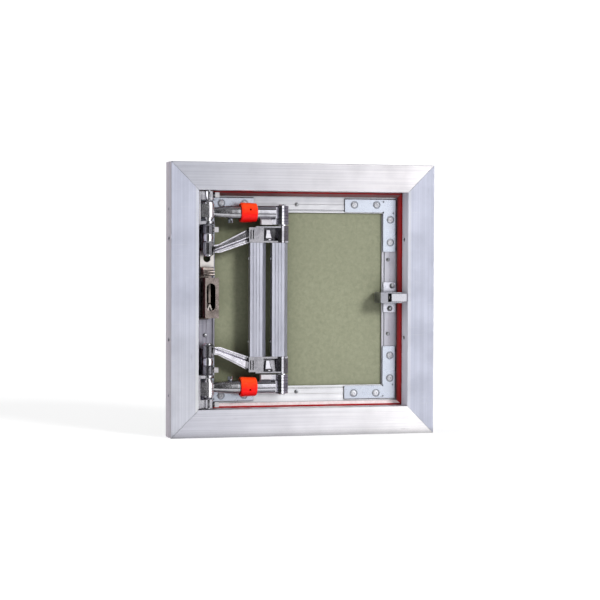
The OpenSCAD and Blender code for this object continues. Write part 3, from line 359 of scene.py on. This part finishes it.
# painted shade: the door bracket is painted darker around the door pivot line
M["bracket"] = plated("door_bracket_chrome", (0.62, 0.605, 0.66), (0.34, 0.325, 0.365), rough=(0.14, 0.28), cast=0.45, scr=0.2, spots=0.35, recess_shade=0.6, reach=0.004,
                      zones=(("X", DPX - 0.0075, DPX + 0.0062, 0.50),))
# painted shade around the door pivot line and where the castings widen over the tubes, and a painted highlight on
# the part between
M["bow"] = plated("bow_chrome", (0.76, 0.745, 0.80), (0.50, 0.485, 0.535), rough=(0.16, 0.30), cast=0.45, scr=0.2, spots=0.25, recess_shade=0.35, reach=0.004,
                  zones=(("X", DPX - 0.0075, DPX + 0.0066, 0.40), ("X", DPX + 0.0066, BOX_X, 1.22), ("X", BOX_X, 1.0, 0.52)))
M["zinc"] = plated("zinc_plate", (0.55, 0.585, 0.665), (0.43, 0.46, 0.535), rough=(0.22, 0.40), cast=0.08, cloud_scale=110, spots=0.12, reach=0.008)
# painted shade: the catch housing is painted darker except its deepest 2.5 mm
M["housing"] = plated("catch_zinc", (0.66, 0.66, 0.73), (0.46, 0.46, 0.52), rough=(0.24, 0.40), cast=0.15, cloud_scale=160, spots=0.25, reach=0.006,
                      zones=(("Y", -1.0, HOUSE[1][1] - 0.0025, 0.50),))
M["steel"] = plated("bright_steel", (0.60, 0.61, 0.66), (0.50, 0.51, 0.55), rough=(0.26, 0.38), scr=0.4)
M["spring"] = plated("spring_steel", (0.50, 0.47, 0.45), (0.34, 0.32, 0.31), rough=(0.18, 0.3))
# painted light: the latch body is painted dark, near black inside, and 2.3 times lighter on its part nearest the
# rear face
M["nickel"] = plated("nickel_plate", (0.35, 0.295, 0.272), (0.20, 0.166, 0.152), rough=(0.20, 0.36), cast=0.18, spots=0.35, recess_shade=0.5, reach=0.004, deep=-0.0088, zones=(("Y", -1.0, -0.01045, 2.3, 0.0001),))
# painted shade: the striker is darker below its top, darkest in a band just under the top, and its low side faces
# are near black
M["striker"] = plated("striker_nickel", (0.62, 0.53, 0.48), (0.42, 0.35, 0.315), rough=(0.20, 0.34), cast=0.12, spots=0.25, recess_shade=0.7, reach=0.003, flanks=0.170, zones=(("Z", 0.0, 0.1700, 0.62), ("Z", 0.158, 0.170, 0.35, 0.004)))
M["jaw"] = plated("jaw_nickel", (0.70, 0.64, 0.60), (0.46, 0.41, 0.38), rough=(0.22, 0.36), cast=0.1, recess_shade=0.3, reach=0.002)
M["rivet"] = plated("rivet_zinc", (0.80, 0.81, 0.86), (0.52, 0.53, 0.58), rough=(0.30, 0.42), scr=0.2, recess_shade=0.9, reach=0.0016, metallic=0.35)
M["clamp"] = plated("clamp_zinc", (0.64, 0.62, 0.64), (0.44, 0.42, 0.44), rough=(0.30, 0.44), cast=0.08, spots=0.15, recess_shade=0.4, reach=0.003)
M["tongue"] = plated("catch_tongue", (0.47, 0.47, 0.51), (0.38, 0.38, 0.42), rough=(0.22, 0.34), cast=0.05, spots=0.1, recess_shade=0.5, reach=0.003)
M["screw"] = plated("screw_steel", (0.60, 0.61, 0.63), (0.36, 0.37, 0.39), rough=(0.16, 0.34), spots=0.3, recess_shade=0.5)
M["plate"] = plated("striker_plate_zinc", (0.84, 0.79, 0.76), (0.66, 0.62, 0.59), rough=(0.26, 0.40), cast=0.05, spots=0.1, recess_shade=0.9, reach=0.006)
M["key"] = plated("key_aluminium", (0.62, 0.63, 0.65), (0.50, 0.51, 0.53), rough=(0.35, 0.5), cast=0.3)


def rubber():
    """Red seal: bright on the flat outside of the lip; on its sloping inside, painted shade deeper in on faces that
    look sideways and on faces that look down, a whitish painted highlight on faces that look up, and painted shade
    in the recesses.
    """
    m = Mat("red_rubber")
    n = m.noise((700, 700, 700), 4, 0.6)
    c = m.noise((60, 60, 60), 4, 0.6, loc=(2, 2, 5))
    col = m.ramp(c, [(0.3, (0.26, 0.002, 0.004)), (0.55, (0.42, 0.003, 0.006)), (0.8, (0.50, 0.006, 0.010))])
    nx, ny, nz = m.normal()
    up_face = m.remap(nz, 0.35, 0.55, 0, 1)
    down_face = m.remap(nz, -0.35, -0.55, 0, 1)
    side_face = m.remap(m.math("ABSOLUTE", nx), 0.35, 0.55, 0, 1)
    painted_light_patches = m.remap(m.noise((220, 220, 220), 6, 0.7, loc=(7, 1, 1)), 0.3, 0.7, 0.75, 1.0)
    lo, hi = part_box("door_seal")
    depth = m.remap(m.axes()[1], lo[1], hi[1], 0, 1)
    # painted light and shade, patchy: side faces go from bright red at the back to dark brown deeper in, faces that
    # look down are painted in shade, faces that look up get a whitish highlight, and the recesses are painted dark
    col = m.mix(m.math("MULTIPLY", side_face, painted_light_patches), col, m.ramp(depth, [(0.15, (0.58, 0.0012, 0.003)), (0.5, (0.40, 0.003, 0.006)), (0.9, (0.15, 0.020, 0.020))]))
    col = m.mix(m.math("MULTIPLY", down_face, painted_light_patches), col, (0.20, 0.115, 0.115))
    col = m.mix(m.math("MULTIPLY", up_face, painted_light_patches), col, (0.90, 0.80, 0.81))
    col = m.mix(m.math("MULTIPLY", m.cavity(0.006, 0.25, 0.7), 0.7), col, (0.045, 0.008, 0.010))
    m.color(col)
    m.rough(m.remap(n, 0.3, 0.7, 0.42, 0.68))
    m.set(Specular_IOR_Level=0.35)
    m.bump(n, 0.00003)
    return m.m


def plastic(name, lo, mid, hi, rough=(0.24, 0.40), sss=0.0):
    m = Mat(name)
    n = m.noise((1500, 1500, 1500), 3, 0.6)
    c = m.noise((90, 90, 90), 4, 0.6, loc=(3, 1, 9))
    col = m.ramp(c, [(0.32, lo), (0.52, mid), (0.76, hi)])
    s = m.scratches(2, 0.0, 4.1)
    m.color(m.mix(m.math("MULTIPLY", s, 0.25), col, tuple(min(1, 0.5 + v * 0.5) for v in hi)))
    m.rough(m.remap(n, 0.3, 0.7, *rough))
    m.bump(n, 0.000012)
    return m.m


def board():
    m = Mat("green_board")
    fibre = m.noise((1300, 1300, 1300), 5, 0.7)
    mott = m.noise((240, 240, 240), 5, 0.65, loc=(1, 4, 2), distortion=0.6)
    cloud = m.noise((16, 16, 16), 4, 0.55, loc=(3, 3, 8))
    patch = m.noise((130, 130, 130), 3, 0.6, loc=(6, 2, 4))
    col = m.ramp(mott, [(0.30, (0.220, 0.229, 0.158)), (0.50, (0.258, 0.268, 0.185)), (0.72, (0.298, 0.308, 0.216))])
    col = m.mix(m.remap(patch, 0.48, 0.34, 0, 0.20), col, (0.215, 0.226, 0.154))
    col = m.mix(m.remap(patch, 0.52, 0.66, 0, 0.20), col, (0.305, 0.312, 0.222))
    col = m.mix(m.remap(fibre, 0.56, 0.74, 0, 0.45), col, (0.355, 0.365, 0.27))
    col = m.mix(m.remap(cloud, 0.40, 0.66, 0, 0.25), col, (0.236, 0.245, 0.170))
    # painted shade: the board is darkened to a deep green next to the frame, the tubes and the parts over it
    col = m.mix(m.math("MULTIPLY", m.cavity(0.030, 0.15, 0.92), 0.75), col, (0.030, 0.038, 0.010))
    m.color(col)
    m.rough(m.remap(fibre, 0.3, 0.7, 0.78, 0.92))
    m.set(Specular_IOR_Level=0.25)
    m.bump(m.math("ADD", m.math("MULTIPLY", fibre, 0.7), m.math("MULTIPLY", mott, 0.5)), 0.00006)
    return m.m


M["rubber"] = rubber()


def collar_plastic():
    """Translucent orange moulding with painted light and shade: lighter orange at its top, darker red towards its
    underside.
    """
    m = Mat("orange_plastic")
    n = m.noise((1500, 1500, 1500), 3, 0.6)
    c = m.noise((260, 260, 260), 4, 0.65, loc=(3, 1, 9))
    xyz = m.new("ShaderNodeSeparateXYZ")
    m.link(m.co, xyz.inputs["Vector"])
    # 0 at the bottom and 1 at the top of either collar
    t = m.math("DIVIDE", m.math("MODULO", m.math("SUBTRACT", xyz.outputs["Z"], 0.0435), 0.191), 0.022)
    t = m.math("ADD", t, m.math("MULTIPLY", m.math("SUBTRACT", c, 0.5), 0.5))
    col = m.ramp(t, [(0.10, (0.62, 0.0015, 0.0015)), (0.38, (0.93, 0.004, 0.002)), (0.60, (0.98, 0.030, 0.004)), (0.85, (0.98, 0.062, 0.010))])
    s_ = m.scratches(2, 0.0, 4.1)
    m.color(m.mix(m.math("MULTIPLY", s_, 0.2), col, (1.0, 0.45, 0.30)))
    m.rough(m.remap(n, 0.3, 0.7, 0.26, 0.42))
    m.set(Specular_IOR_Level=0.22)
    m.bump(m.math("ADD", n, m.math("MULTIPLY", c, 0.6)), 0.00002)
    return m.m


M["orange"] = collar_plastic()
M["nylon"] = plastic("white_nylon", (0.44, 0.42, 0.45), (0.50, 0.48, 0.51), (0.56, 0.54, 0.57))
M["board"] = board()

BY_SLOT = {"key_aluminium": "key", "tube_aluminium": "tube", "red_rubber": "rubber", "cast_chrome": "cast", "polished_chrome": "chrome",
           "zinc_plate": "zinc", "bright_steel": "steel", "spring_steel": "spring", "nickel_plate": "nickel", "screw_steel": "screw",
           "orange_plastic": "orange", "white_nylon": "nylon", "green_board": "board"}
OWN = {"striker_plate": "plate", "latch_striker": "striker", "catch_housing": "housing", "catch_bolt": "tongue", "latch_jaw": "jaw", "door_rail_left": "door_left_shaded", "arm_root_upper": "root", "arm_root_lower": "root", "bow_casting_upper": "bow", "bow_casting_lower": "bow", "door_bracket_upper": "bracket", "door_bracket_lower": "bracket",
       "corner_rivets": "rivet", "frame_pin_clamps": "clamp", "door_pin_clamps": "clamp", "arm_tip_upper": "lug", "arm_tip_lower": "lug"}
for name, o in N.items():
    slot_name = o.material_slots[0].material.name if o.material_slots and o.material_slots[0].material else ""
    key = slot_name.split(".")[0]
    if key in ("frame_aluminium", "door_aluminium"):
        which = OWN.get(name, ("frame_" if key[0] == "f" else "door_") + ("X" if name.endswith(("_top", "_bottom")) else "Z"))
    else:
        which = OWN.get(name, BY_SLOT[key])
    for s in o.material_slots:
        s.material = M[which]

# small rounded edges, so that every edge of the metal catches light
BEVEL = {"frame_rail": 0.30, "door_rail": 0.22, "corner_brackets": 0.20, "frame_bracket": 0.12,
         "latch_body": 0.22, "latch_jaw": 0.15, "catch_housing": 0.2, "catch_bolt": 0.2, "latch_striker": 0.2, "striker_plate": 0.2, "bow_tube": 0.2,
         "stop_pad": 0.3, "frame_pin_clamps": 0.2, "door_pin_clamps": 0.2, "door_board": 0.3}
for name, o in N.items():
    for k, w in BEVEL.items():
        if name.startswith(k):
            wd = o.modifiers.new("join", "WELD")
            wd.merge_threshold = 0.000004
            bv = o.modifiers.new("edges", "BEVEL")
            bv.width = w * MM
            bv.segments = 2
            bv.limit_method = "ANGLE"
            bv.angle_limit = math.radians(32)
            bv.harden_normals = True
            bv.use_clamp_overlap = True
            break

# ---------------------------------------------------------------- springs
def coil(name, node, wire, turns, body):
    """A wound wire in the place of the plain coil."""
    lo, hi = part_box(node)
    r = (hi[2] - lo[2]) / 2 - wire
    cy, cz = (lo[1] + hi[1]) / 2, (lo[2] + hi[2]) / 2
    length = hi[0] - lo[0] - 2 * wire
    steps, sides = int(turns * 32), 10
    b = bmesh.new()
    rings = []
    for i in range(steps + 1):
        t = i / steps
        # ground ends: the first and last half turn lie nearly flat
        u = min(max((t * turns - 0.4) / (turns - 0.8), 0), 1)
        x = lo[0] + wire + length * (0.04 * t + 0.96 * u)
        a = 2 * math.pi * turns * t
        rings.append([b.verts.new((x + wire * math.sin(q), cy + (r + wire * math.cos(q)) * math.cos(a), cz + (r + wire * math.cos(q)) * math.sin(a)))
                      for q in (2 * math.pi * k / sides for k in range(sides))])
    for p, q in zip(rings, rings[1:]):
        for k in range(sides):
            b.faces.new((p[k], p[(k + 1) % sides], q[(k + 1) % sides], q[k]))
    b.faces.new(rings[0][::-1])
    b.faces.new(rings[-1])
    bmesh.ops.recalc_face_normals(b, faces=b.faces)
    for f in b.faces:
        f.smooth = len(f.verts) == 4
    me = bpy.data.meshes.new(name)
    b.to_mesh(me)
    b.free()
    me.materials.append(M["spring"])
    o = bpy.data.objects.new(name, me)
    SC.collection.objects.link(o)
    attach(o, body)
    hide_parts(node)
    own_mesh(o)
    return o


coil("collar_coil_upper", "collar_spring_upper", 0.00035, 3, "arm_upper")
coil("collar_coil_lower", "collar_spring_lower", 0.00035, 3, "arm_lower")
coil("catch_coil", "catch_spring", 0.00045, 6, "door")
coil("latch_coil", "latch_spring", 0.0003, 4, "frame")

# ---------------------------------------------------------------- floor, light
fl = bpy.data.meshes.new("floor")
bm = bmesh.new()
bm.faces.new([bm.verts.new(c) for c in ((-2.4, -1.0, 0), (2.4, -1.0, 0), (2.4, 2.6, 0), (-2.4, 2.6, 0))])
bm.to_mesh(fl)
bm.free()
floor = bpy.data.objects.new("floor", fl)
SC.collection.objects.link(floor)
fm = Mat("pale_floor")
fn = fm.noise((3, 3, 3), 3, 0.5)
fm.color(fm.ramp(fn, [(0.3, (0.50, 0.50, 0.50)), (0.7, (0.53, 0.53, 0.53))]))
fm.rough(fm.remap(fn, 0.3, 0.7, 0.55, 0.65))
fm.set(Specular_IOR_Level=0.2, Emission_Color=(1.0, 1.0, 1.0, 1.0), Emission_Strength=0.60)
fl.materials.append(fm.m)
floor.visible_glossy = False

world = bpy.data.worlds.new("studio")
SC.world = world
world.use_nodes = True
wt = world.node_tree
wt.nodes.clear()


def wn(kind, **props):
    n = wt.nodes.new(kind)
    for k, v in props.items():
        setattr(n, k, v)
    return n


def wmath(op, a, b=None, c=None, clamp=False):
    n = wn("ShaderNodeMath", operation=op, use_clamp=clamp)
    for i, v in enumerate((a, b, c)):
        if v is None:
            continue
        if isinstance(v, (int, float)):
            n.inputs[i].default_value = v
        else:
            wt.links.new(v, n.inputs[i])
    return n.outputs["Value"]


wc = wn("ShaderNodeTexCoord").outputs["Generated"]
sep = wn("ShaderNodeSeparateXYZ")
wt.links.new(wc, sep.inputs["Vector"])
# azimuth in degrees from the -Y direction towards +X, elevation in degrees
az_deg = wmath("MULTIPLY", wmath("ARCTAN2", sep.outputs["X"], wmath("MULTIPLY", sep.outputs["Y"], -1.0)), 57.29578)
el_deg = wmath("MULTIPLY", wmath("ARCSINE", sep.outputs["Z"]), 57.29578)


def band(v, lo, hi, soft):
    """1 between lo and hi, falling to 0 over soft degrees on each side."""
    a = wmath("DIVIDE", wmath("SUBTRACT", v, lo - soft), soft, clamp=True)
    b = wmath("DIVIDE", wmath("SUBTRACT", hi + soft, v), soft, clamp=True)
    return wmath("MULTIPLY", a, b)


def panel(az0, az1, el0, el1, level, soft=4.0, soft_el=4.0):
    return wmath("MULTIPLY", wmath("MULTIPLY", band(az_deg, az0, az1, soft), band(el_deg, el0, el1, soft_el)), level)


# what the bright metal mirrors: a dark studio, one tall soft box in front to the right, a pale floor below,
# a dark strip between them, and weaker boxes to the left and behind
gloss = wmath("ADD", 0.06, wmath("MULTIPLY", band(el_deg, -90, -33, 5), 0.45))
gloss = wmath("ADD", gloss, wmath("MULTIPLY", band(el_deg, -56, -33, 5), 0.55))
gloss = wmath("ADD", gloss, panel(20.5, 44, -11, 38, 2.35, 12, 5))
gloss = wmath("ADD", gloss, panel(44, 78, -4, 30, 0.45, 6, 6))
gloss = wmath("ADD", gloss, panel(-64, -40, -8, 30, 0.34, 6, 8))
gloss = wmath("ADD", gloss, panel(-104, -72, -10, 34, 0.26, 8, 8))
gloss = wmath("ADD", gloss, panel(-182, -112, -14, 34, 0.52, 8, 8))
gloss = wmath("ADD", gloss, panel(126, 182, -14, 34, 0.52, 8, 8))
gloss = wmath("ADD", gloss, panel(-182, 182, 58, 90, 0.14, 1, 12))
# what lights everything else: a dim even room
soft_room = wmath("ADD", 0.12, panel(-30, 120, 5, 80, 0.10, 30, 20))
soft_room = wmath("ADD", soft_room, panel(-130, -62, -12, 60, 2.0, 8, 10))
lp = wn("ShaderNodeLightPath")


def wmix(fac, a, b):
    return wmath("ADD", wmath("MULTIPLY", wmath("SUBTRACT", 1.0, fac), a), wmath("MULTIPLY", fac, b))


level = wmix(lp.outputs["Is Glossy Ray"], soft_room, gloss)
level = wmix(lp.outputs["Is Camera Ray"], level, 1.12)
bg = wn("ShaderNodeBackground")
bg.inputs["Color"].default_value = (0.985, 0.99, 1.0, 1)
wt.links.new(level, bg.inputs["Strength"])
wo = wn("ShaderNodeOutputWorld")
wt.links.new(bg.outputs["Background"], wo.inputs["Surface"])
world.cycles.sampling_method = "NONE"


def sun(name, towards, strength, angle, color=(1, 1, 1)):
    """A distant soft light that shines from the given direction."""
    d = bpy.data.lights.new(name, "SUN")
    d.energy = strength
    d.angle = math.radians(angle)
    d.color = color
    o = bpy.data.objects.new(name, d)
    SC.collection.objects.link(o)
    o.rotation_mode = "QUATERNION"
    o.rotation_quaternion = (-Vector(towards)).to_track_quat("-Z", "Y")
    o.visible_glossy = False
    return o


sun("key_right", (0.464, -0.803, 0.375), 2.55, 17)
sun("top_soft", (0.05, -0.3, 1.0), 0.45, 90)

SC.view_settings.view_transform = "Standard"
SC.view_settings.look = "None"
SC.view_settings.exposure = 0.0
SC.view_settings.gamma = 1.0
